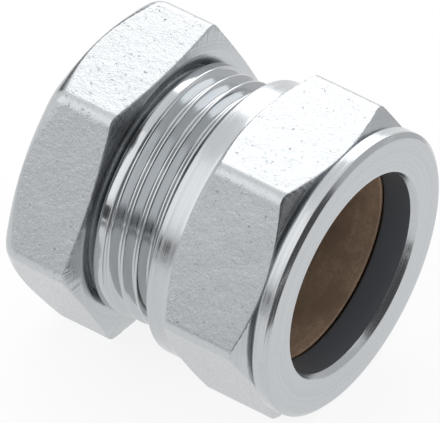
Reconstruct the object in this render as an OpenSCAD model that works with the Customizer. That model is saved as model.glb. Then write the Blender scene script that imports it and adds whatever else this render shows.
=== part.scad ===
// Compression stop end for 22 mm pipe: a closed hexagon body with a male thread, a hexagon
// nut with two round collars, and the brass compression ring between their two cones.
//
// The fitting lies on its lower flat with its axis along X. The open mouth faces +X and +Z is
// up. The origin is on the axis at the step where the pipe's end comes to rest. Every station
// below is a depth behind the nut's front face, so a station d lies at x = stop_at - d.

/* [Pipe] */
// Outside diameter of the pipe that the fitting closes
pipe_d = 22; // [21:0.1:23]
// Radial clearance round the pipe in the nut's mouth
mouth_clearance = 0.15; // [0.1:0.01:0.3]
// Radial clearance round the pipe in the body's socket
socket_clearance = 0.1; // [0.06:0.01:0.25]
// Radial clearance round the pipe in the compression ring
ring_clearance = 0.06; // [0.06:0.01:0.2]

/* [Nut] */
// Wall of the nut between the groove inside it and its flats
nut_wall = 1.275; // [1:0.025:4]
// Length of the nut's flats along their middle
nut_flats_len = 10.5; // [8:0.1:14]
// How far the hand-tight nut's flats are turned from the body's
nut_turned = 1.5; // [-30:0.5:30]
// How far the front collar stands out beyond the flats
front_collar_proud = 0.475; // [0.1:0.025:1.5]
// Length of the front collar
front_collar_len = 1.7; // [1.2:0.1:3]
// Size of the bevel on the front collar's edge across the face
face_bevel = 0.5; // [0.1:0.05:1]
// Length of that bevel along the collar
face_bevel_len = 0.4; // [0.1:0.05:1]
// Width of the neck between the front collar and the flats
neck_w = 0.4; // [0.2:0.1:1.2]
// Depth of that neck below the front collar
neck_depth = 0.7; // [0.3:0.1:1.2]
// How far the rear collar stays inside the flats
rear_collar_inset = 0.075; // [0.025:0.025:0.6]
// Length of the rear collar
rear_collar_len = 2.8; // [1.5:0.1:6]
// Bevel on the rear collar's edge
rear_bevel = 0.3; // [0.1:0.05:0.8]
// Angle of the turned chamfers on the nut's corners, from the face
nut_chamfer_angle = 30; // [15:1:40]
// How far inside the flats those chamfers begin
nut_chamfer_inset = 0.05; // [0.02:0.01:0.2]
// Length of the nut's lip, from its face to its cone
lip_len = 3.9; // [2.5:0.1:6]
// Size of the bevel round the mouth, across the face
mouth_bevel = 0.45; // [0.1:0.05:1]
// Length of the bevel round the mouth
mouth_bevel_len = 0.7; // [0.1:0.05:1.5]
// Half angle of the cone that presses on the ring
nut_cone_angle = 45; // [35:1:55]

/* [Compression ring] */
// Wall of the compression ring
ring_wall = 1.45; // [1:0.05:1.55]
// Length of the compression ring
ring_len = 6.5; // [5.5:0.1:8]
// Thickness of the ring's two ends
ring_tip = 0.35; // [0.2:0.05:0.6]
// Angle of the ring's tapers and of the body's seat, from the axis
ring_taper_angle = 30; // [25:1:40]
// Gap between the ring and each of its seats when the nut is hand-tight
seat_gap = 0.1; // [0.05:0.01:0.3]

/* [Thread] */
// Wall of the spigot between the pipe's socket and the thread's root
spigot_wall = 1.65; // [1.55:0.05:3]
// Distance between neighbouring crests
thread_pitch = 1.75; // [1.6:0.05:2]
// Depth of the thread, from crest to root
thread_depth = 1.05; // [0.8:0.05:1.1]
// Width of the crests of both threads
crest_w = 0.24; // [0.15:0.01:0.3]
// Radial clearance between the male and the female thread
thread_clearance = 0.2; // [0.15:0.01:0.25]
// Clearance between the flanks of the two threads, along the axis
flank_clearance = 0.15; // [0.1:0.01:0.2]
// Width of the relief groove at the inner end of the nut's thread
relief_w = 1.2; // [0.8:0.1:2]
// How much deeper that groove is than the thread
relief_depth = 0.1; // [0.05:0.05:0.3]
// How far the nut's thread reaches past the body's nose
relief_gap = 0.5; // [0.2:0.1:1]
// Length over which the thread rises to its full depth at each end, in turns
thread_rise_turns = 0.25; // [0.1:0.05:0.5]
// How far round from the top the crests reach a whole number of turns behind the nut's face
thread_start = 117; // [0:1:359]

/* [Body] */
// How far the body's flats stand out beyond the nut's
flats_step = 0.225; // [0.025:0.025:2]
// Thickness of the hexagon head, from the shoulder to the closed end
head_len = 8.8; // [6:0.1:14]
// Length of the spigot, from the head's shoulder to its nose
spigot_len = 13.95; // [12:0.05:18]
// Length of the plain land behind the thread
land_len = 1.1; // [0.5:0.1:3]
// How far the land stands out beyond the thread's crests
land_proud = 0.2; // [0.05:0.05:0.5]
// Width of the undercut between the land and the head
undercut_w = 0.7; // [0.4:0.1:1.5]
// How far the undercut's floor stands out beyond the thread's root
undercut_rise = 0.05; // [0.05:0.05:0.6]
// How far inside the flats the turned shoulder on the head's front ends
shoulder_inset = 0.55; // [0.2:0.05:1.2]
// Angle of the head's front chamfer, from the face
head_chamfer_angle = 11; // [4:1:30]
// Radius of the rounding round the closed end
end_round = 2.5; // [1:0.1:3.5]
// Plain length of the spigot in front of the thread
nose_len = 0.6; // [0.3:0.1:1.5]
// Wall that is left at the tip of the nose
nose_tip = 0.45; // [0.3:0.05:0.6]
// Depth of the pipe socket behind the spigot's nose
socket_depth = 15.6; // [12:0.1:17]
// Width of the step that stops the pipe
stop_step = 1.5; // [0.8:0.1:3]
// Thickness of the closed end
end_wall = 3; // [2:0.1:5]
// Angle of the conical bottom of the blind hole, from a flat bottom
bottom_cone_angle = 10; // [5:1:30]
// Radius of the flat in the middle of that bottom
bottom_flat_r = 1; // [0.5:0.1:3]

/* [Edges] */
// Rounding of the corners between neighbouring flats
corner_round = 1.6; // [0.8:0.1:3]

/* [Hidden] */

$fn = 96;
eps = 0.01;
margin = 1;
corner_lift = 0.015;

// Radii of the passage for the pipe
mouth_r = pipe_d / 2 + mouth_clearance;
socket_r = pipe_d / 2 + socket_clearance;
ring_in_r = pipe_d / 2 + ring_clearance;
ring_out_r = ring_in_r + ring_wall;
stop_r = socket_r - stop_step;

// Radii of the thread, and of what follows from them
male_root_r = socket_r + spigot_wall;
male_crest_r = male_root_r + thread_depth;
female_root_r = male_crest_r + thread_clearance;
female_crest_r = male_root_r + thread_clearance;
relief_r = female_root_r + relief_depth;
land_r = male_crest_r + land_proud;
undercut_r = male_root_r + undercut_rise;

// Widths across the flats, and the radii of the turned collars and the shoulder
nut_flats = 2 * (relief_r + nut_wall);
front_collar_r = nut_flats / 2 + front_collar_proud;
rear_collar_r = nut_flats / 2 - rear_collar_inset;
body_flats = nut_flats + 2 * flats_step;
shoulder_r = body_flats / 2 - shoulder_inset;

// Stations of the nut
neck_at = front_collar_len;
nut_flats_at = neck_at + neck_w;
rear_collar_at = nut_flats_at + nut_flats_len;
nut_end = rear_collar_at + rear_collar_len;
nut_cone_end = lip_len + (female_crest_r - mouth_r) / tan(nut_cone_angle);

// Stations of the ring: its front end touches the nut's cone, seat_gap apart
ring_tip_r = ring_in_r + ring_tip;
taper_len = (ring_out_r - ring_tip_r) / tan(ring_taper_angle);
ring_at = lip_len + (ring_tip_r - mouth_r) / tan(nut_cone_angle) + seat_gap;
ring_end = ring_at + ring_len;

// Stations of the body: its seat lies seat_gap outside the ring's rear taper
seat_r = male_root_r - nose_tip;
nose_at = ring_end - taper_len
    + (ring_out_r - seat_r) / tan(ring_taper_angle) + seat_gap / sin(ring_taper_angle);
seat_len = (seat_r - socket_r) / tan(ring_taper_angle);
shoulder_at = nose_at + spigot_len;
undercut_at = shoulder_at - undercut_w;
land_at = undercut_at - land_len;
closed_end = shoulder_at + head_len;
stop_at = nose_at + socket_depth;
bottom_at = closed_end - end_wall;

// Stations of the threads
flank_angle = 30;
steps_per_turn = 48;
male_foot = crest_w / 2 + thread_depth * tan(flank_angle);
male_from = nose_at + nose_len + male_foot;
male_to = land_at + male_foot;
female_crest_half = crest_w / 2 + flank_clearance - thread_clearance * tan(flank_angle);
relief_end = nose_at - relief_gap;
entry_len = relief_r - mouth_r;

// Turns what is drawn along +Z from the nut's face into the fitting's frame: +Z becomes -X
module along_axis() {
    translate([stop_at, 0, 0]) rotate([0, -90, 0]) children();
}

// A tube or a solid turned from its outline, given as [radius, station] points
module turned(outline) {
    rotate_extrude($fn = 144) polygon(outline);
}

// A hexagon with rounded corners and two flats level, extruded between two stations. The
// rounding's circle is a little larger than its name, so it crosses the flats at a slight angle
module hexagon_bar(flats, from, to, turn) {
    length = to - from;
    corner_at = (flats - 2 * corner_round) / sqrt(3);
    round_at = corner_at + corner_round * cos(30);
    translate([0, 0, from]) rotate(turn + 30) difference() {
        cylinder(d = 2 * flats / sqrt(3), h = length, $fn = 6);
        for (i = [0:5]) rotate(60 * i) difference() {
            translate([round_at, -corner_round, -margin])
                cube([corner_round, 2 * corner_round, length + 2 * margin]);
            translate([corner_at, 0, -2 * margin])
                cylinder(r = corner_round + corner_lift, h = length + 4 * margin, $fn = 48);
        }
    }
}

// A solid bar with a right-hand thread: a core of root_r between two stations, and on it a
// ridge up to crest_r whose middle runs from ridge_from to ridge_to. The ridge rises and falls
// over thread_rise_turns. Each column of points lies at one angle and crosses every turn with
// four points: foot, crest, crest, foot. The last column meets the first one turn further on.
module threaded_bar(from, to, root_r, crest_r, crest_half, ridge_from, ridge_to) {
    depth = crest_r - root_r;
    foot_half = crest_half + depth * tan(flank_angle);
    start = thread_pitch * thread_start / 360;
    first = start + thread_pitch * floor((from - foot_half - start) / thread_pitch);
    turns = ceil((to + foot_half - first) / thread_pitch);
    rows = 4 * turns + 2;
    rise_len = thread_rise_turns * thread_pitch;
    function point(i, row) =
        let (turn = floor((row - 1) / 4),
             corner = (row - 1) % 4,
             middle = first + thread_pitch * (turn + i / steps_per_turn),
             full = min((middle - ridge_from) / rise_len, (ridge_to - middle) / rise_len, 1),
             height = depth * max(full, 0),
             tip_half = foot_half - height * tan(flank_angle),
             offset = [-foot_half, -tip_half, tip_half, foot_half][corner],
             r = corner == 1 || corner == 2 ? root_r + height : root_r,
             angle = 360 * i / steps_per_turn)
        row == 0 ? [root_r * cos(angle), root_r * sin(angle), from]
            : row == rows - 1 ? [root_r * cos(angle), root_r * sin(angle), to]
            : [r * cos(angle), r * sin(angle), min(max(middle + offset, from), to)];
    function id(i, row) =
        i < steps_per_turn ? i * rows + row : row == 0 ? 0 : min(row + 4, rows - 1);
    points = [for (i = [0:steps_per_turn - 1]) for (row = [0:rows - 1]) point(i, row)];
    sides = [for (i = [0:steps_per_turn - 1]) for (row = [0:rows - 2])
        let (a = id(i, row), b = id(i, row + 1), c = id(i + 1, row + 1), d = id(i + 1, row))
        for (f = [[a, b, c], [a, c, d]])
        if (points[f[0]] != points[f[1]] && points[f[1]] != points[f[2]]
            && points[f[2]] != points[f[0]]) f];
    low = [for (i = [0:steps_per_turn - 1]) id(i, 0)];
    high = [for (i = [steps_per_turn - 1:-1:0]) id(i, rows - 1)];
    polyhedron(points, concat(sides, [low, high]), convexity = 10);
}

// The closed body: hexagon head, undercut, land, male thread and socket with its seat
module stop_end_body() {
    head_corner_r = body_flats / sqrt(3);
    chamfer_rise = (head_corner_r - shoulder_r) * tan(head_chamfer_angle);
    round_from = head_corner_r - corner_round * (2 / sqrt(3) - 1) - end_round;
    color([0.80, 0.81, 0.82]) along_axis() difference() {
        union() {
            intersection() {
                hexagon_bar(body_flats, shoulder_at, closed_end, 0);
                union() {
                    turned([[0, shoulder_at], [shoulder_r, shoulder_at],
                            [head_corner_r + eps, shoulder_at + chamfer_rise],
                            [head_corner_r + eps, closed_end - end_round],
                            [0, closed_end - end_round]]);
                    translate([0, 0, closed_end - end_round - eps])
                        cylinder(r = round_from, h = end_round + eps, $fn = 144);
                    rotate_extrude($fn = 144) intersection() {
                        translate([round_from, closed_end - end_round])
                            circle(end_round, $fn = 96);
                        translate([round_from - eps, closed_end - end_round - eps])
                            square(end_round + 2 * eps);
                    }
                }
            }
            turned([[0, land_at], [land_r, land_at], [land_r, undercut_at],
                    [undercut_r, undercut_at], [undercut_r, shoulder_at + eps],
                    [0, shoulder_at + eps]]);
            threaded_bar(nose_at, land_at + land_len / 2, male_root_r, male_crest_r,
                         crest_w / 2, male_from, male_to);
        }
        turned([[0, nose_at - eps], [seat_r + eps * tan(ring_taper_angle), nose_at - eps],
                [socket_r, nose_at + seat_len], [socket_r, stop_at], [stop_r, stop_at],
                [stop_r, bottom_at - (stop_r - bottom_flat_r) * tan(bottom_cone_angle)],
                [bottom_flat_r, bottom_at], [0, bottom_at]]);
    }
}

// The brass ring that is squeezed on to the pipe, with a taper at both ends
module compression_ring() {
    color([0.71, 0.53, 0.26]) along_axis()
        turned([[ring_in_r, ring_at], [ring_tip_r, ring_at], [ring_out_r, ring_at + taper_len],
                [ring_out_r, ring_end - taper_len], [ring_tip_r, ring_end], [ring_in_r, ring_end]]);
}

// The nut: front collar and neck, flats with turned chamfers, rear collar, lip, cone and thread
module compression_nut() {
    nut_corner_r = nut_flats / sqrt(3);
    chamfer_from_r = nut_flats / 2 - nut_chamfer_inset;
    chamfer_rise = (nut_corner_r - chamfer_from_r) * tan(nut_chamfer_angle);
    color([0.80, 0.81, 0.82]) along_axis() union() {
        difference() {
            union() {
                turned([[0, 0], [front_collar_r - face_bevel, 0],
                        [front_collar_r, face_bevel_len], [front_collar_r, neck_at],
                        [front_collar_r - neck_depth, neck_at],
                        [front_collar_r - neck_depth, nut_flats_at + eps],
                        [0, nut_flats_at + eps]]);
                intersection() {
                    hexagon_bar(nut_flats, nut_flats_at, rear_collar_at, nut_turned);
                    turned([[0, nut_flats_at], [chamfer_from_r, nut_flats_at],
                            [nut_corner_r, nut_flats_at + chamfer_rise],
                            [nut_corner_r, rear_collar_at - chamfer_rise],
                            [chamfer_from_r, rear_collar_at], [0, rear_collar_at]]);
                }
                turned([[0, rear_collar_at - eps], [rear_collar_r, rear_collar_at - eps],
                        [rear_collar_r, nut_end - rear_bevel],
                        [rear_collar_r - rear_bevel, nut_end], [0, nut_end]]);
            }
            turned([[0, -eps], [mouth_r + mouth_bevel, -eps], [mouth_r + mouth_bevel, 0],
                    [mouth_r, mouth_bevel_len], [mouth_r, lip_len],
                    [female_crest_r, nut_cone_end], [female_crest_r, relief_end - relief_w],
                    [relief_r, relief_end - relief_w], [relief_r, relief_end],
                    [mouth_r, relief_end + entry_len], [mouth_r, nut_end - entry_len],
                    [relief_r, nut_end], [relief_r, nut_end + eps], [0, nut_end + eps]]);
            threaded_bar(relief_end - relief_w / 2, nut_end + 2 * thread_pitch, female_crest_r,
                         female_root_r, female_crest_half, relief_end, nut_end + thread_pitch);
        }
    }
}

stop_end_body();
compression_ring();
compression_nut();
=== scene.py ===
import math

import bpy
import numpy as np
from mathutils import Matrix, Vector, noise


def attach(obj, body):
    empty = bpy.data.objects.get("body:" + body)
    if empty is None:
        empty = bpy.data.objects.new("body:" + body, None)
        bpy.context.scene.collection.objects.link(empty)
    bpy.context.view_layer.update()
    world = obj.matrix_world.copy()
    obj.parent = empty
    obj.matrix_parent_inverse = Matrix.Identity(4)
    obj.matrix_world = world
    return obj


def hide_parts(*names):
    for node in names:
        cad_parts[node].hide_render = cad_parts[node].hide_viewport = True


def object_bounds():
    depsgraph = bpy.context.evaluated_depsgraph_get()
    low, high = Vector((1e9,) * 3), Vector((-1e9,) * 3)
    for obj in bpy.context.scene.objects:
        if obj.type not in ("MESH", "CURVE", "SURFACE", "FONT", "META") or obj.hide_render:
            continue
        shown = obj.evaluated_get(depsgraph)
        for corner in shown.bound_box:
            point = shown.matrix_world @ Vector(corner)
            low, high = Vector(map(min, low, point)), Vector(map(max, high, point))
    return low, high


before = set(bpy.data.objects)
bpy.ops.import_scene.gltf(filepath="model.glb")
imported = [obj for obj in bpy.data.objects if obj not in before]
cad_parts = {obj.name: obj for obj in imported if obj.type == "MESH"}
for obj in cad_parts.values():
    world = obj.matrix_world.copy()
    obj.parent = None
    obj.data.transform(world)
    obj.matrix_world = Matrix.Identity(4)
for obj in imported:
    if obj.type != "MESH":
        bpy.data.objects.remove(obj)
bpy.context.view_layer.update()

# Lengths below are in millimetres. A station is a depth behind the nut's front face, so a
# station s lies at x = STOP_AT - s. An angle phi is measured from the top (+Z) towards +Y.
MM = 0.001
STOP_AT = 25.018475
PITCH = 1.75
THREAD_START = 117.0


# Meshes made of rings.

class Skin:
    """Collects rings of points round the X axis, and the faces between them."""

    def __init__(self):
        self.points = []
        self.faces = []
        self.finish = []
        self.count = 0

    def add(self, r, s, phi):
        """One column of points for each phi, at radius r and station s; returns their numbers."""
        r = np.broadcast_to(np.asarray(r, float), phi.shape)
        s = np.broadcast_to(np.asarray(s, float), phi.shape)
        psi = np.radians(90.0 - phi)
        self.points.append(np.stack([STOP_AT - s, r * np.cos(psi), r * np.sin(psi)], 1) * MM)
        ids = np.arange(self.count, self.count + len(phi))
        self.count += len(phi)
        return ids

    def face(self, corners, finish):
        self.faces.append([int(c) for c in corners])
        self.finish.append(finish)

    def strip(self, a, b, finish, closed=True):
        """Quads between two rings of the same count."""
        n = len(a)
        for j in range(n if closed else n - 1):
            k = (j + 1) % n
            self.face((a[j], a[k], b[k], b[j]), finish)

    def grow(self, ring, r, s, phi, finish):
        """Adds one more ring, joined to the last one, and returns it."""
        following = self.add(r, s, phi)
        self.strip(ring, following, finish)
        return following

    def step_down(self, many, few, finish):
        """Triangles between a ring and one with a third of its points."""
        n = len(few)
        for j in range(n):
            k = (j + 1) % n
            a, b, c = many[3 * j], many[3 * j + 1], many[3 * j + 2]
            d = many[(3 * j + 3) % len(many)]
            for f in ((a, b, few[j]), (b, few[k], few[j]), (b, c, few[k]), (c, d, few[k])):
                self.face(f, finish)

    def step_up(self, few, many, finish):
        """Triangles between a ring and one with three times its points."""
        n = len(few)
        for j in range(n):
            k = (j + 1) % n
            a, b, c = many[3 * j], many[3 * j + 1], many[3 * j + 2]
            d = many[(3 * j + 3) % len(many)]
            for f in ((b, a, few[j]), (few[k], b, few[j]), (c, b, few[k]), (d, c, few[k])):
                self.face(f, finish)

    def pole(self, ring, s, finish, first):
        """A fan from a ring to one point on the axis. first says that the pole comes before it."""
        self.points.append(np.array([[STOP_AT - s, 0.0, 0.0]]) * MM)
        tip = self.count
        self.count += 1
        n = len(ring)
        for j in range(n):
            k = (j + 1) % n
            self.face((tip, ring[k], ring[j]) if first else (ring[j], ring[k], tip), finish)

    def zip(self, a, b, place, finish, flip=False):
        """Triangles between two columns of points, matched by their place along the axis."""
        i = j = 0
        while i < len(a) - 1 or j < len(b) - 1:
            if j == len(b) - 1 or (i < len(a) - 1 and place[a[i + 1]] <= place[b[j + 1]]):
                f = (a[i], b[j], a[i + 1])
                i += 1
            else:
                f = (a[i], b[j], b[j + 1])
                j += 1
            self.face(f[::-1] if flip else f, finish)

    def build(self, name, materials):
        """Makes the object of what was collected, with its faces looking out."""
        co = np.concatenate(self.points)
        mesh = bpy.data.meshes.new(name)
        mesh.from_pydata([tuple(c) for c in co], [], self.faces)
        mesh.validate()
        for m in materials:
            mesh.materials.append(m)
        mesh.polygons.foreach_set("material_index", np.array(self.finish, np.int32))
        mesh.polygons.foreach_set("use_smooth", np.ones(len(mesh.polygons), bool))
        mesh.update()
        # The signed volume tells whether the faces look out.
        mesh.calc_loop_triangles()
        tri = np.zeros(len(mesh.loop_triangles) * 3, np.int32)
        mesh.loop_triangles.foreach_get("vertices", tri)
        tri = tri.reshape(-1, 3)
        volume = np.einsum("ij,ij->i", co[tri[:, 0]], np.cross(co[tri[:, 1]], co[tri[:, 2]])).sum()
        if volume < 0:
            mesh.flip_normals()
        piece = bpy.data.objects.new(name, mesh)
        bpy.context.scene.collection.objects.link(piece)
        return piece


MOST_OF_A_SIDE = 0.42


def smooth_profile(corners, rounding, pieces, arcs):
    """Rings along an outline whose corners are rounded.

    corners holds (r, s) pairs, numbers or one value for each column. rounding holds the length
    of each corner's rounding along its sides, pieces the number of parts of each side, and arcs
    the number of parts of each rounding. Returns a list of (r, s, side) rings.
    """
    size = max(np.size(v) for c in corners for v in c)
    p = [np.stack([np.broadcast_to(np.asarray(v, float), (size,)) for v in c], 1) for c in corners]
    n = len(p)
    start, end = [None] * n, [None] * n
    for i in range(n):
        start[i] = end[i] = p[i]
        if 0 < i < n - 1 and rounding[i] > 0:
            for where, other, out in ((i, i - 1, start), (i, i + 1, end)):
                d = p[other] - p[i]
                length = np.linalg.norm(d, axis=1, keepdims=True)
                t = np.minimum(rounding[i], MOST_OF_A_SIDE * length)
                out[i] = p[i] + d / np.maximum(length, 1e-9) * t
    rings = [(p[0], 0)]
    for i in range(1, n):
        a, b = end[i - 1], start[i]
        for k in range(1, pieces[i - 1] + 1):
            rings.append((a + (b - a) * k / pieces[i - 1], i - 1))
        if 0 < i < n - 1 and rounding[i] > 0:
            for k in range(1, arcs[i] + 1):
                u = k / arcs[i]
                q = (1 - u) ** 2 * start[i] + 2 * u * (1 - u) * p[i] + u * u * end[i]
                rings.append((q, i - 1 if u <= 0.5 else i))
    return [(q[:, 0], q[:, 1], side) for q, side in rings]


def hexagon_columns(flats, turn, corner_round, flat_parts=96, corner_parts=24):
    """phi and radius of points round a hexagon with rounded corners and a flat on top."""
    corner_at = (flats - 2 * corner_round) / math.sqrt(3)
    phi, rho = [], []
    for i in range(6):
        base = 60.0 * i - 30.0
        for k in range(corner_parts):
            a = base - 30.0 + 60.0 * k / corner_parts
            y = corner_at * math.cos(math.radians(base)) + corner_round * math.cos(math.radians(a))
            z = corner_at * math.sin(math.radians(base)) + corner_round * math.sin(math.radians(a))
            phi.append(math.degrees(math.atan2(z, y)))
            rho.append(math.hypot(y, z))
        half = corner_at * math.sin(math.radians(30.0))
        for k in range(flat_parts):
            t = -half + 2 * half * k / flat_parts
            phi.append(base + 30.0 + math.degrees(math.atan2(t, flats / 2)))
            rho.append(math.hypot(flats / 2, t))
    phi = np.unwrap(np.radians(phi))
    return np.degrees(phi) + turn, np.array(rho)


def rough_field(phi, r, s, size, seed):
    """Smooth noise in -1..1 for each column, with lumps of about the given size."""
    r = np.broadcast_to(r, phi.shape)
    s = np.broadcast_to(s, phi.shape)
    out = np.empty(len(phi))
    for j in range(len(phi)):
        a = math.radians(90.0 - phi[j])
        out[j] = noise.noise(Vector((s[j] / size + seed, r[j] * math.cos(a) / size,
                                     r[j] * math.sin(a) / size)))
    return out


THREAD_FLANK = 30.0
THREAD_SOFTEN, THREAD_STEP = 0.03, 0.004


def thread_radius(crest_r, root_r, crest_half):
    """A function from the distance behind a crest's middle to the thread's radius."""
    foot = crest_half + (crest_r - root_r) * math.tan(math.radians(THREAD_FLANK))
    u = np.arange(-1.5 * PITCH, 1.5 * PITCH, THREAD_STEP)
    v = (u + PITCH / 2) % PITCH - PITCH / 2
    r = np.interp(v, [-foot, -crest_half, crest_half, foot], [root_r, crest_r, crest_r, root_r])
    reach = 60
    k = np.exp(-0.5 * (np.arange(-reach, reach + 1) * THREAD_STEP / THREAD_SOFTEN) ** 2)
    r = np.convolve(np.pad(r, reach, mode="edge"), k / k.sum(), mode="valid")
    return lambda d: np.interp((d + PITCH / 2) % PITCH - PITCH / 2, u, r)


def thread_rows(skin, phi, far, near, s_far, s_near, offsets, radius, finish):
    """Fills the space between two rings with rows that follow the thread's helix.

    far is the ring at the larger station. radius(phi, s) gives the surface. Rows that would
    pass the far ring are piled up just before it.
    """
    n = len(offsets)
    lead = PITCH * (phi + THREAD_START) / 360.0
    pile, clear = 0.006, 0.03

    def helix(q):
        return lead + PITCH * (q // n) + offsets[q % n]

    low = int((s_near - lead[0]) / PITCH * n) - 2 * n
    while helix(low)[0] < s_near + clear:
        low += 1
    high = low
    while helix(high + 1)[0] < s_far - clear:
        high += 1
    rows, place = {}, {}
    for q in range(low, high + 1):
        s = np.minimum(helix(q), s_far - pile * (high + 1 - q))
        rows[q] = skin.add(radius(phi, s), s, phi)
        place.update(zip(rows[q], s))
    for ring, s in ((far, s_far), (near, s_near)):
        place.update((i, s) for i in ring)
    skin.strip(far, rows[high], finish, closed=False)
    for q in range(high, low, -1):
        skin.strip(rows[q], rows[q - 1], finish, closed=False)
        if q + n <= high:
            a, b = rows[q], rows[q - 1]
            skin.face((a[-1], rows[q + n][0], rows[q - 1 + n][0], b[-1]), finish)
    skin.strip(rows[low], near, finish, closed=False)
    # The last columns, where each row meets the one a turn further on.
    left = [near[-1], rows[low][-1]]
    right = [near[0]] + [rows[q][0] for q in range(low, low + n + 1)]
    skin.zip(left, right, place, finish, flip=True)
    left = [rows[q][-1] for q in range(high - n, high + 1)] + [far[-1]]
    right = [rows[high][0], far[0]]
    skin.zip(left, right, place, finish, flip=True)


# The stop end's body.

# The finishes, as material numbers: the fourth is the thread on the body, the lip on the nut.
FORGED, TURNED, INSIDE, THREAD, LIP = 0, 1, 2, 3, 3

CORNER_ROUND = 1.6
BODY_FLATS, SHOULDER_R, HEAD_ANGLE = 31.2, 15.05, 11.0
CLOSED, SHOULDER, UNDERCUT, LAND, NOSE = 32.168475, 23.368475, 22.668475, 21.568475, 9.418475
END_FACE_R, END_RINGS = 13.6, (6.5, 10.0, 12.5)
END_ROUND, EDGE_ROUND, ROUND_PARTS = 2.5, 0.40, 11
MALE_CREST, MALE_ROOT, LAND_R, UNDERCUT_R = 13.8, 12.75, 14.0, 12.8
THREAD_FROM, THREAD_RISE, NOSE_LEN = 0.7, 1.2, 0.4
SEAT_R, SOCKET_R, SEAT_ANGLE = 12.3, 11.1, 30.0
HOLE_R, HOLE_END, HOLE_TIP = 9.6, 27.652, 29.168475
# Places of the rows of points along one turn of the thread, from a crest's middle.
THREAD_OFFSETS = np.array([-0.875, -0.81, -0.74, -0.68, -0.58, -0.42, -0.28, -0.20, -0.15,
                           -0.11, -0.05, 0.05, 0.11, 0.15, 0.20, 0.28, 0.42, 0.58, 0.68, 0.76])


def forged_lumps(phi, r, s, seed):
    """How far the forged flats stand out, in mm."""
    return 0.020 * rough_field(phi, r, s, 3.1, seed) + 0.010 * rough_field(phi, r, s, 1.2, seed + 7)


def edge_wander(phi, seed):
    """A small irregular shift of an edge round the axis, in mm."""
    long_waves = rough_field(phi, 16.0, 0.0, 0.45, seed)
    return 0.040 * (long_waves + 0.7 * rough_field(phi, 16.0, 5.0, 0.2, seed))


def make_body(materials):
    skin = Skin()
    phi, rho = hexagon_columns(BODY_FLATS, 0.0, CORNER_ROUND)
    few = phi[::3]
    lean = math.tan(math.radians(HEAD_ANGLE))
    corner_r = BODY_FLATS / math.sqrt(3) - CORNER_ROUND * (2 / math.sqrt(3) - 1)
    # The closed end's rounding grows from the middle of each flat to its corners.
    cornerward = (rho - BODY_FLATS / 2) / (corner_r - BODY_FLATS / 2)
    end_round = EDGE_ROUND + (END_ROUND - EDGE_ROUND) * cornerward
    s_rear = CLOSED - end_round
    lump_rear = forged_lumps(phi, rho, s_rear, 3.0)
    s_front = SHOULDER + (rho - SHOULDER_R) * lean
    lump_front = forged_lumps(phi, rho, s_front, 3.0)
    ring = skin.add(3.0, CLOSED, few)
    skin.pole(ring, CLOSED, FORGED, first=True)
    for r in END_RINGS:
        ring = skin.grow(ring, r, CLOSED, few, FORGED)
    following = skin.add(END_FACE_R, CLOSED, phi)
    skin.step_up(ring, following, FORGED)
    ring = following
    ragged = edge_wander(phi, 1.0)
    for k in range(ROUND_PARTS):
        a = math.radians(90.0 * k / ROUND_PARTS)
        fade = math.sin(a) ** 2
        r = rho + lump_rear * fade - end_round * (1 - math.sin(a))
        s = CLOSED - end_round * (1 - math.cos(a)) + ragged * fade
        ring = skin.grow(ring, r, s, phi, TURNED)
    corners = [(rho + lump_rear, s_rear + ragged),
               (rho + lump_front, s_front + lump_front * lean + edge_wander(phi, 5.0)),
               (SHOULDER_R, SHOULDER), (13.5, SHOULDER)]
    rings = smooth_profile(corners, [0, 0.12, 0.12, 0], [38, 6, 2], [0, 4, 3, 0])
    for r, s, side in rings:
        if side == 0:
            t = np.clip((s - s_rear) / (s_front - s_rear), 0, 1)
            r = r + forged_lumps(phi, rho, s, 3.0) - (lump_rear * (1 - t) + lump_front * t)
        ring = skin.grow(ring, r, s, phi, FORGED if side == 0 else TURNED)
    # The undercut and the land.
    corners = [(13.1, SHOULDER), (UNDERCUT_R, SHOULDER), (UNDERCUT_R, UNDERCUT), (LAND_R, UNDERCUT),
               (LAND_R, LAND)]
    rings = smooth_profile(corners, [0, 0.12, 0.12, 0.07, 0], [1, 2, 4, 5], [0, 3, 3, 3, 0])
    following = skin.add(rings[0][0], rings[0][1], few)
    skin.step_down(ring, following, TURNED)
    ring = following
    for r, s, _ in rings[1:-1]:
        ring = skin.grow(ring, r, s, few, THREAD)
    shape = thread_radius(MALE_CREST, MALE_ROOT, 0.12)

    def radius(p, s):
        rise = np.clip((s - (NOSE + THREAD_FROM)) / THREAD_RISE, 0, 1)
        return MALE_ROOT + (shape(s - PITCH * (p + THREAD_START) / 360.0) - MALE_ROOT) * rise

    for r, s in ((LAND_R, LAND + 0.05), (LAND_R - 0.015, LAND + 0.02), (LAND_R - 0.05, LAND)):
        ring = skin.grow(ring, r, s, few, THREAD)
    far = skin.grow(ring, radius(few, np.full(len(few), LAND)), LAND, few, THREAD)
    ring = skin.add(MALE_ROOT, NOSE + NOSE_LEN, few)
    thread_rows(skin, few, far, ring, LAND, NOSE + NOSE_LEN, THREAD_OFFSETS, radius, THREAD)
    # The nose, the seat, the socket and the blind hole.
    seat_len = (SEAT_R - SOCKET_R) / math.tan(math.radians(SEAT_ANGLE))
    corners = [(MALE_ROOT, NOSE + NOSE_LEN), (MALE_ROOT, NOSE), (SEAT_R, NOSE),
               (SOCKET_R, NOSE + seat_len), (SOCKET_R, STOP_AT), (HOLE_R, STOP_AT),
               (HOLE_R, HOLE_END), (1.0, HOLE_TIP), (0.4, HOLE_TIP)]
    rings = smooth_profile(corners, [0, 0.12, 0.05, 0.1, 0.15, 0.08, 0.3, 0.2, 0],
                           [2, 1, 5, 10, 3, 4, 6, 1], [0, 3, 2, 2, 2, 2, 3, 2, 0])
    for r, s, side in rings[1:]:
        ring = skin.grow(ring, r, s, few, THREAD if side < 1 else INSIDE)
    skin.pole(ring, HOLE_TIP, INSIDE, first=False)
    return skin.build("body_chromed", materials)


# The nut.

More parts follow.
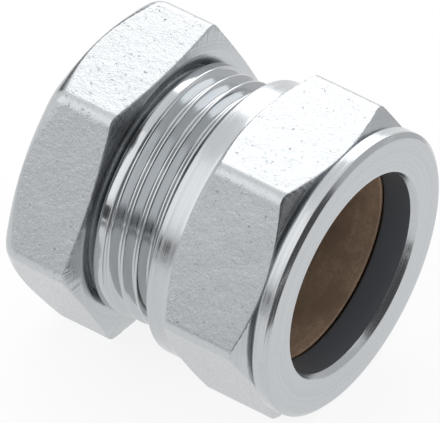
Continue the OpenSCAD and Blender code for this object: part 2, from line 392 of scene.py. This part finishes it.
NUT_FLATS, NUT_TURNED, NUT_FROM, NUT_TO, NUT_END = 30.75, 1.5, 2.1, 12.6, 15.4
CHAMFER_R, CHAMFER_ANGLE = 15.325, 30.0
COLLAR_R, REAR_COLLAR_R, NECK_R, COLLAR_LEN = 15.85, 15.3, 15.15, 1.7
FEMALE_CREST, FEMALE_ROOT, RELIEF_R, RELIEF_TO, RELIEF_FROM = 12.95, 14.0, 14.1, 8.918475, 7.718475
LIP_LEN, MOUTH_R, CONE_END = 3.9, 11.15, 5.7
MOUTH_BEVEL, MOUTH_BEVEL_LEN, FRONT_BEVEL, FRONT_BEVEL_LEN, REAR_BEVEL = 0.45, 0.7, 0.5, 0.4, 0.3
FACE_INNER_R, FACE_MIDDLE_R, BACK_OUTER_R, BACK_INNER_R = 12.0, 12.6, 14.6, 14.35
NUT_OFFSETS = np.array([-0.875, -0.76, -0.5, -0.16, 0.16, 0.5, 0.76])


def make_nut(materials):
    skin = Skin()
    phi, rho = hexagon_columns(NUT_FLATS, NUT_TURNED, CORNER_ROUND)
    few = phi[::3]
    lean = math.tan(math.radians(CHAMFER_ANGLE))
    s_front = NUT_FROM + (rho - CHAMFER_R) * lean
    s_rear = NUT_TO - (rho - CHAMFER_R) * lean
    lump_front = forged_lumps(phi, rho, s_front, 23.0)
    lump_rear = forged_lumps(phi, rho, s_rear, 23.0)
    first = ring = skin.add(FACE_INNER_R, 0.0, few)
    following = skin.add(FACE_MIDDLE_R, 0.0, phi)
    skin.step_up(ring, following, TURNED)
    ring = following
    corners = [(FACE_MIDDLE_R, 0.0), (COLLAR_R - FRONT_BEVEL, 0.0), (COLLAR_R, FRONT_BEVEL_LEN),
               (COLLAR_R, COLLAR_LEN),
               (NECK_R, COLLAR_LEN), (NECK_R, NUT_FROM), (CHAMFER_R, NUT_FROM),
               (rho + lump_front, s_front + lump_front * lean + edge_wander(phi, 41.0)),
               (rho + lump_rear, s_rear - lump_rear * lean + edge_wander(phi, 47.0)),
               (CHAMFER_R, NUT_TO), (REAR_COLLAR_R, NUT_TO + 0.03),
               (REAR_COLLAR_R, NUT_END - REAR_BEVEL), (REAR_COLLAR_R - REAR_BEVEL, NUT_END),
               (BACK_OUTER_R, NUT_END)]
    rings = smooth_profile(
        corners, [0, 0.07, 0.08, 0.08, 0.05, 0.05, 0.03, 0.12, 0.10, 0.02, 0.02, 0.08, 0.08, 0],
        [3, 3, 4, 2, 2, 1, 5, 42, 5, 1, 6, 2, 1], [0, 3, 3, 3, 2, 2, 1, 4, 4, 1, 1, 3, 3, 0])
    for r, s, side in rings[1:]:
        if side == 7:
            t = np.clip((s - s_front) / (s_rear - s_front), 0, 1)
            r = r + forged_lumps(phi, rho, s, 23.0) - (lump_front * (1 - t) + lump_rear * t)
        ring = skin.grow(ring, r, s, phi, FORGED if side == 7 else TURNED)
    following = skin.add(BACK_INNER_R, NUT_END, few)
    skin.step_down(ring, following, TURNED)
    ring = following
    entry = RELIEF_R - FEMALE_CREST
    shape = thread_radius(FEMALE_ROOT, FEMALE_CREST, 0.1545)
    s_far, s_near = NUT_END - entry - 0.05, RELIEF_TO + 0.1

    def radius(p, s):
        rise = np.clip(np.minimum((s_far - s) / 0.5, (s - s_near) / 0.3), 0, 1)
        return FEMALE_CREST + (shape(s - PITCH * (p + THREAD_START) / 360.0) - FEMALE_CREST) * rise

    corners = [(BACK_INNER_R, NUT_END), (RELIEF_R, NUT_END), (FEMALE_CREST, NUT_END - entry),
               (FEMALE_CREST, s_far)]
    for r, s, _ in smooth_profile(corners, [0, 0.05, 0.03, 0], [1, 3, 1], [0, 2, 1, 0])[1:]:
        ring = skin.grow(ring, r, s, few, INSIDE)
    near = skin.add(FEMALE_CREST, s_near, few)
    thread_rows(skin, few, ring, near, s_far, s_near, NUT_OFFSETS, radius, INSIDE)
    ring = near
    corners = [(FEMALE_CREST, s_near), (FEMALE_CREST, RELIEF_TO), (RELIEF_R, RELIEF_TO),
               (RELIEF_R, RELIEF_FROM), (FEMALE_CREST, RELIEF_FROM), (FEMALE_CREST, CONE_END),
               (MOUTH_R, LIP_LEN), (MOUTH_R, MOUTH_BEVEL_LEN), (MOUTH_R + MOUTH_BEVEL, 0.0),
               (FACE_INNER_R, 0.0)]
    rings = smooth_profile(corners, [0, 0.05, 0.05, 0.1, 0.05, 0.1, 0.10, 0.06, 0.05, 0],
                           [1, 2, 2, 2, 2, 3, 8, 3, 1], [0, 1, 1, 2, 1, 1, 3, 3, 3, 0])
    for r, s, side in rings[1:-1]:
        ring = skin.grow(ring, r, s, few, INSIDE if side < 6 else LIP if side == 6 else TURNED)
    skin.strip(ring, first, TURNED)
    return skin.build("nut_chromed", materials)


# The compression ring.

def make_ring(materials):
    skin = Skin()
    phi = np.arange(0, 360, 1.5)
    front, rear, inner, outer, tip = 4.26, 10.76, 11.06, 12.51, 11.41
    middle = inner + 0.17
    taper = (outer - tip) / math.tan(math.radians(SEAT_ANGLE))
    corners = [(middle, front), (tip, front), (outer, front + taper), (outer, rear - taper),
               (tip, rear), (inner, rear), (inner, front), (middle, front)]
    rings = smooth_profile(corners, [0, 0.05, 0.2, 0.2, 0.05, 0.08, 0.08, 0],
                           [1, 5, 4, 5, 2, 26, 1], [0, 2, 3, 3, 2, 3, 3, 0])
    first = ring = skin.add(rings[0][0], rings[0][1], phi)
    for r, s, _ in rings[1:-1]:
        ring = skin.grow(ring, r, s, phi, 0)
    skin.strip(ring, first, 0)
    return skin.build("ring_brass", materials)


# Materials.

class Nodes:
    """Short names for building a material's nodes."""

    def __init__(self, name):
        self.material = bpy.data.materials.new(name)
        self.material.use_nodes = True
        self.tree = self.material.node_tree
        self.shader = self.tree.nodes["Principled BSDF"]
        where = self.tree.nodes.new("ShaderNodeTexCoord")
        self.mm = self.math3("MULTIPLY", where.outputs["Object"], (1000, 1000, 1000))

    def put(self, socket, value):
        if isinstance(value, bpy.types.NodeSocket):
            self.tree.links.new(value, socket)
        else:
            socket.default_value = value

    def math3(self, how, a, b=None):
        n = self.tree.nodes.new("ShaderNodeVectorMath")
        n.operation = how
        self.put(n.inputs[0], a)
        if b is not None:
            self.put(n.inputs[1], b)
        return n.outputs["Value"] if how == "LENGTH" else n.outputs["Vector"]

    def math(self, how, a, b):
        n = self.tree.nodes.new("ShaderNodeMath")
        n.operation = how
        self.put(n.inputs[0], a)
        self.put(n.inputs[1], b)
        return n.outputs[0]

    def split(self, vector):
        n = self.tree.nodes.new("ShaderNodeSeparateXYZ")
        self.put(n.inputs[0], vector)
        return n.outputs

    def join(self, x, y, z):
        n = self.tree.nodes.new("ShaderNodeCombineXYZ")
        for i, v in enumerate((x, y, z)):
            self.put(n.inputs[i], v)
        return n.outputs[0]

    def noise(self, vector, scale, detail, rough):
        n = self.tree.nodes.new("ShaderNodeTexNoise")
        self.put(n.inputs["Vector"], vector)
        n.inputs["Scale"].default_value = scale
        n.inputs["Detail"].default_value = detail
        n.inputs["Roughness"].default_value = rough
        return n.outputs["Fac"]

    def ramp(self, value, low, high, to_low=0.0, to_high=1.0):
        n = self.tree.nodes.new("ShaderNodeMapRange")
        n.interpolation_type = "SMOOTHSTEP"
        self.put(n.inputs["Value"], value)
        ends = (("From Min", low), ("From Max", high), ("To Min", to_low), ("To Max", to_high))
        for key, v in ends:
            n.inputs[key].default_value = v
        return n.outputs["Result"]

    def mix(self, fac, a, b):
        n = self.tree.nodes.new("ShaderNodeMix")
        n.data_type = "RGBA"
        self.put(n.inputs["Factor"], fac)
        self.put(n.inputs["A"], a)
        self.put(n.inputs["B"], b)
        return n.outputs["Result"]

    def turned(self, along, around, detail, rough):
        """Noise in the shape of the fine rings that a lathe leaves."""
        return self.noise(self.turned_space(along, around), 1.0, detail, rough)

    def finished(self, colour, roughness, height_um, metallic):
        """Sets the shader and returns the material. height_um is in thousandths of a millimetre."""
        n = self.tree.nodes.new("ShaderNodeBump")
        n.inputs["Distance"].default_value = 1e-6
        n.inputs["Strength"].default_value = 1.0
        self.put(n.inputs["Height"], height_um)
        self.put(self.shader.inputs["Normal"], n.outputs["Normal"])
        self.put(self.shader.inputs["Base Color"], colour)
        self.put(self.shader.inputs["Roughness"], roughness)
        self.shader.inputs["Metallic"].default_value = metallic
        return self.material

    def turned_space(self, along, around):
        """Coordinates along the axis, away from it and round it."""
        x, y, z = self.split(self.mm)
        r = self.math3("LENGTH", self.join(0.0, y, z))
        turn = self.math("ARCTAN2", z, y)
        return self.join(self.math("MULTIPLY", x, along), self.math("MULTIPLY", r, along),
                         self.math("MULTIPLY", turn, around))


CHROME = (0.530, 0.550, 0.566, 1.0)
CHROME_DULL = (0.5035, 0.5225, 0.5377, 1.0)
# Painted shade: the dark grey that the forged plate's pits are coloured.
PIT_SHADE = (0.22, 0.23, 0.24, 1.0)
# Painted shade: the dark colours of the brass deep inside the socket and the nut.
SOCKET_SHADE_DARK, SOCKET_SHADE_LIGHT = (0.17, 0.165, 0.16, 1.0), (0.26, 0.25, 0.235, 1.0)
# Painted shade: the lip's dark colours stand in for the dark that its bore reflects.
LIP_SHADE_DARK, LIP_SHADE_LIGHT = (0.112, 0.124, 0.142, 1.0), (0.155, 0.170, 0.190, 1.0)
# Painted shade: the ring's brass is coloured dark brown; its lighter streak colour is a painted
# reflection. The clouds and specks are its own tone.
BROWN, BRASS_STREAK_SHEEN = (0.45, 0.315, 0.220, 1.0), (0.55, 0.395, 0.280, 1.0)
BROWN_CLOUD, BROWN_SPECK = (0.36, 0.250, 0.175, 1.0), (0.33, 0.225, 0.160, 1.0)


def forged_chrome(name, coarse):
    """Bright plate over a forged skin: lumpy like orange peel, with fine grain and small pits."""
    n = Nodes(name)
    peel = n.noise(n.mm, 1.7, 2.0, 0.6)
    grain = n.noise(n.mm, 4.6, 3.0, 0.7)
    place = n.noise(n.mm, 1.9, 4.0, 0.8)
    pits = n.ramp(place, 0.30, 0.38, -26.0 * coarse, 0.0)
    height = n.math("ADD", n.math("MULTIPLY", peel, 26.0 * coarse),
                    n.math("ADD", n.math("MULTIPLY", grain, 24.0 * coarse), pits))
    # The pits are coloured dark grey as painted shade in them.
    colour = n.mix(n.ramp(place, 0.30, 0.36), PIT_SHADE, CHROME)
    return n.finished(colour, n.ramp(grain, 0.3, 0.7, 0.24, 0.34), height, 1.0)


def turned_chrome(name, rough, lines):
    """Bright plate over a turned face, with the tool's fine rings showing through."""
    n = Nodes(name)
    rings = n.turned(9.0, 0.25, 3.0, 0.65)
    coarse = n.turned(1.6, 0.15, 1.0, 0.5)
    ripple = n.noise(n.mm, 0.5, 1.0, 0.5)
    waves = n.math("ADD", n.math("MULTIPLY", coarse, 5.0 * lines), n.math("MULTIPLY", ripple, 10.0))
    height = n.math("ADD", n.math("MULTIPLY", rings, 1.3 * lines), waves)
    colour = n.mix(n.ramp(coarse, 0.3, 0.7), CHROME_DULL, CHROME)
    return n.finished(colour, n.ramp(rings, 0.35, 0.65, rough * 0.7, rough * 1.5), height, 1.0)


def shade_painted_inside(name):
    """Unplated brass inside the socket, dulled by the plating bath, and coloured dark as painted shade
    deep inside.
    """
    n = Nodes(name)
    rings = n.turned(6.0, 0.3, 3.0, 0.6)
    cloud = n.noise(n.mm, 0.45, 2.0, 0.5)
    colour = n.mix(cloud, SOCKET_SHADE_DARK, SOCKET_SHADE_LIGHT)
    return n.finished(colour, n.ramp(cloud, 0.3, 0.7, 0.30, 0.42), n.math("MULTIPLY", rings, 5.0), 1.0)


def shade_painted_lip(name):
    """The lip's bore, where the plate is thin and dull, coloured dark as painted shade for the dark it
    reflects.
    """
    n = Nodes(name)
    rings = n.turned(7.0, 0.3, 3.0, 0.6)
    colour = n.mix(rings, LIP_SHADE_DARK, LIP_SHADE_LIGHT)
    return n.finished(colour, n.ramp(rings, 0.3, 0.7, 0.34, 0.46), n.math("MULTIPLY", rings, 3.0), 0.3)


def shade_painted_brass(name):
    """The ring: brass coloured a dark brown as painted shade, with faint streaks round the bore
    painted lighter as reflections.
    """
    n = Nodes(name)
    streaks = n.turned(2.2, 1.2, 3.0, 0.6)
    grain = n.noise(n.mm, 3.0, 3.0, 0.6)
    cloud = n.noise(n.mm, 0.22, 2.0, 0.5)
    # Painted reflection: a lighter colour along the turned streaks.
    colour = n.mix(n.ramp(streaks, 0.3, 0.7), BROWN, BRASS_STREAK_SHEEN)
    colour = n.mix(n.ramp(cloud, 0.38, 0.62), colour, BROWN_CLOUD)
    colour = n.mix(n.ramp(grain, 0.45, 0.8), colour, BROWN_SPECK)
    height = n.math("ADD", n.math("MULTIPLY", streaks, 6.0), n.math("MULTIPLY", grain, 3.0))
    return n.finished(colour, n.ramp(grain, 0.3, 0.7, 0.42, 0.55), height, 0.3)


forged_body = forged_chrome("chrome_forged_body", 1.5)
forged_nut = forged_chrome("chrome_forged_nut", 0.9)
turned = turned_chrome("chrome_turned", 0.22, 0.3)
thread = turned_chrome("chrome_thread", 0.11, 0.4)
inside = shade_painted_inside("brass_inside_painted_shade")
lip = shade_painted_lip("lip_painted_shade")
brass = shade_painted_brass("brass_ring")

body = make_body([forged_body, turned, inside, thread])
nut = make_nut([forged_nut, turned, inside, lip])
ring = make_ring([brass])
for piece, node, rides, slot in ((body, "stop_end_body", "stop_end", "chrome_body"),
                                 (nut, "compression_nut", "nut", "chrome_nut"),
                                 (ring, "compression_ring", "ring", "ring_brass")):
    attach(piece, rides)
    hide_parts(node)

# Floor, light and camera.

# The object lies on one of the head's flats.
FLOOR = min(-BODY_FLATS / 2 * MM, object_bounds()[0][2])


def stage_mesh(name, points, faces, material):
    """A piece of the stage, which isn't part of the object."""
    mesh = bpy.data.meshes.new(name)
    mesh.from_pydata(points, [], faces)
    mesh.materials.append(material)
    piece = bpy.data.objects.new(name, mesh)
    bpy.context.scene.collection.objects.link(piece)
    return piece


def plain(name, strength):
    """A material that shows one brightness."""
    material = bpy.data.materials.new(name)
    material.use_nodes = True
    nodes = material.node_tree.nodes
    nodes.remove(nodes["Principled BSDF"])
    glow = nodes.new("ShaderNodeEmission")
    glow.inputs["Color"].default_value = (1.0, 1.0, 1.02, 1.0)
    glow.inputs["Strength"].default_value = strength
    material.node_tree.links.new(glow.outputs[0], nodes["Material Output"].inputs["Surface"])
    return material


def seen_rays(tree):
    """1 for camera, glossy and transmission rays, else 0."""
    path = tree.nodes.new("ShaderNodeLightPath")
    total = path.outputs["Is Camera Ray"]
    for key in ("Is Glossy Ray", "Is Transmission Ray"):
        n = tree.nodes.new("ShaderNodeMath")
        n.operation = "MAXIMUM"
        tree.links.new(total, n.inputs[0])
        tree.links.new(path.outputs[key], n.inputs[1])
        total = n.outputs[0]
    return total


# A pale floor, whose white is mostly its own for what sees it, so that the shadow stays light.
floor_material = bpy.data.materials.new("floor_white")
floor_material.use_nodes = True
tree = floor_material.node_tree
paint = tree.nodes["Principled BSDF"]
paint.inputs["Base Color"].default_value = (0.88, 0.88, 0.88, 1.0)
paint.inputs["Roughness"].default_value = 0.9
paint.inputs["Specular IOR Level"].default_value = 0.0
glow = tree.nodes.new("ShaderNodeEmission")
glow.inputs["Strength"].default_value = 1.03
share = tree.nodes.new("ShaderNodeMath")
share.operation = "MULTIPLY"
share.inputs[1].default_value = 0.82
tree.links.new(seen_rays(tree), share.inputs[0])
mixed = tree.nodes.new("ShaderNodeMixShader")
tree.links.new(share.outputs[0], mixed.inputs[0])
tree.links.new(paint.outputs[0], mixed.inputs[1])
tree.links.new(glow.outputs[0], mixed.inputs[2])
tree.links.new(mixed.outputs[0], tree.nodes["Material Output"].inputs["Surface"])
FLOOR_R, FLOOR_SIDES = 3.0, 180
rim = [2 * math.pi * j / FLOOR_SIDES for j in range(FLOOR_SIDES)]
stage_mesh("floor", [(FLOOR_R * math.cos(a), FLOOR_R * math.sin(a), FLOOR) for a in rim],
           [list(range(FLOOR_SIDES))], floor_material)


def direction(azimuth, elevation):
    """The way from the object to a place, by angles in degrees from +X towards +Y, and up."""
    a, e = math.radians(azimuth), math.radians(elevation)
    return Vector((math.cos(a) * math.cos(e), math.sin(a) * math.cos(e), math.sin(e)))


# Cards that only the plate's reflections show: dark on the camera's side, grey low down.
CARD_MIDDLE = Vector((0.012, 0, 0))
ABOVE_FLOOR = 0.0003


def card(name, brightness, azimuth, elevation, far):
    """A curved card on a globe round the object, or lying on the floor where it is below 0."""
    na, ne = 24, 12
    points, faces = [], []
    for i in range(na + 1):
        a = azimuth[0] + (azimuth[1] - azimuth[0]) * i / na
        for j in range(ne + 1):
            e = elevation[0] + (elevation[1] - elevation[0]) * j / ne
            out = direction(a, e)
            if elevation[0] < 0:
                out *= FLOOR / out.z
                out.z = FLOOR + ABOVE_FLOOR
            else:
                out *= far
            points.append(out + CARD_MIDDLE)
    for i in range(na):
        for j in range(ne):
            k = i * (ne + 1) + j
            faces.append((k, k + ne + 1, k + ne + 2, k + 1))
    sheet = stage_mesh(name, points, faces, plain(name, brightness))
    sheet.visible_camera = False
    sheet.visible_diffuse = False
    sheet.visible_shadow = False
    sheet.visible_transmission = False


card("card_dark", 0.10, (-74, 20), (0, 62), 0.40)
card("card_dark_table", 0.10, (-74, 20), (-14, -2.4), 0.40)
card("card_half_left", 0.60, (-100, -74), (0, 50), 0.41)
card("card_dark_high", 0.10, (-98, 20), (62, 82), 0.40)
card("card_spot", 0.08, (239, 251), (0, 11), 0.40)
card("card_spot_table", 0.08, (239, 251), (-5, -2.2), 0.40)
card("card_low_left", 0.66, (220, 286), (0, 11), 0.43)
card("card_low_left_table", 0.66, (220, 286), (-6, -2.4), 0.43)
card("card_grey", 0.68, (20, 88), (0, 46), 0.42)
card("card_grey_table", 0.68, (20, 88), (-16, -2.4), 0.42)
card("card_back", 0.15, (135, 166), (0, 26), 0.42)


LAMP_FAR = 0.60
LAMP_MIDDLE = Vector((0.008, 0, 0))


def soft_light(name, azimuth, elevation, width, height, radiance):
    """A wide soft lamp, given by its direction, its size in degrees and its radiance."""
    lamp = bpy.data.lights.new(name, "AREA")
    lamp.shape = "RECTANGLE"
    lamp.size = 2 * LAMP_FAR * math.tan(math.radians(width / 2))
    lamp.size_y = 2 * LAMP_FAR * math.tan(math.radians(height / 2))
    lamp.energy = radiance * math.pi * lamp.size * lamp.size_y
    out = direction(azimuth, elevation)
    soft = bpy.data.objects.new(name, lamp)
    soft.location = out * LAMP_FAR + LAMP_MIDDLE
    soft.rotation_euler = out.to_track_quat("Z", "Y").to_euler()
    soft.visible_camera = False
    bpy.context.scene.collection.objects.link(soft)


soft_light("soft_light_back", 112.0, 28.0, 48.0, 38.0, 1.40)
soft_light("soft_light_side", 220.0, 40.0, 50.0, 50.0, 0.42)

world = bpy.data.worlds.new("studio")
world.use_nodes = True
bpy.context.scene.world = world
tree = world.node_tree
back = tree.nodes["Background"]
back.inputs["Color"].default_value = (1.0, 1.0, 1.0, 1.0)
level = tree.nodes.new("ShaderNodeMapRange")
level.inputs["To Min"].default_value = 0.85
level.inputs["To Max"].default_value = 1.0
tree.links.new(seen_rays(tree), level.inputs["Value"])
tree.links.new(level.outputs["Result"], back.inputs["Strength"])

# The camera, fitted to the rims, corners and edges in the photograph. FOCAL is in pixels.
AZ, EL, ROLL = (math.radians(v) for v in (34.323, 43.314, 0.858))
AIM_X, AIM_Y, AWAY = -13.694, 6.6, 1000.1
FOCAL, PHOTO_WIDTH, SENSOR = 9827.59, 440, 36.0
back_dir = Vector((math.sin(AZ) * math.cos(EL), -math.cos(AZ) * math.cos(EL), math.sin(EL)))
right = Vector((math.cos(AZ), math.sin(AZ), 0.0))
up = back_dir.cross(right)
across = math.cos(ROLL) * right + math.sin(ROLL) * up
upward = -math.sin(ROLL) * right + math.cos(ROLL) * up
place = (AIM_X * across + AIM_Y * upward + AWAY * back_dir) * MM + Vector((STOP_AT * MM, 0, 0))
view = bpy.data.cameras.new("camera")
view.sensor_fit = "HORIZONTAL"
view.sensor_width = SENSOR
view.lens = FOCAL / PHOTO_WIDTH * SENSOR
view.clip_end = 20.0
camera = bpy.data.objects.new("camera", view)
camera.matrix_world = Matrix((
    (across.x, upward.x, back_dir.x, place.x),
    (across.y, upward.y, back_dir.y, place.y),
    (across.z, upward.z, back_dir.z, place.z),
    (0, 0, 0, 1)))
bpy.context.scene.collection.objects.link(camera)
bpy.context.scene.camera = camera
bpy.context.scene.view_settings.view_transform = "Standard"
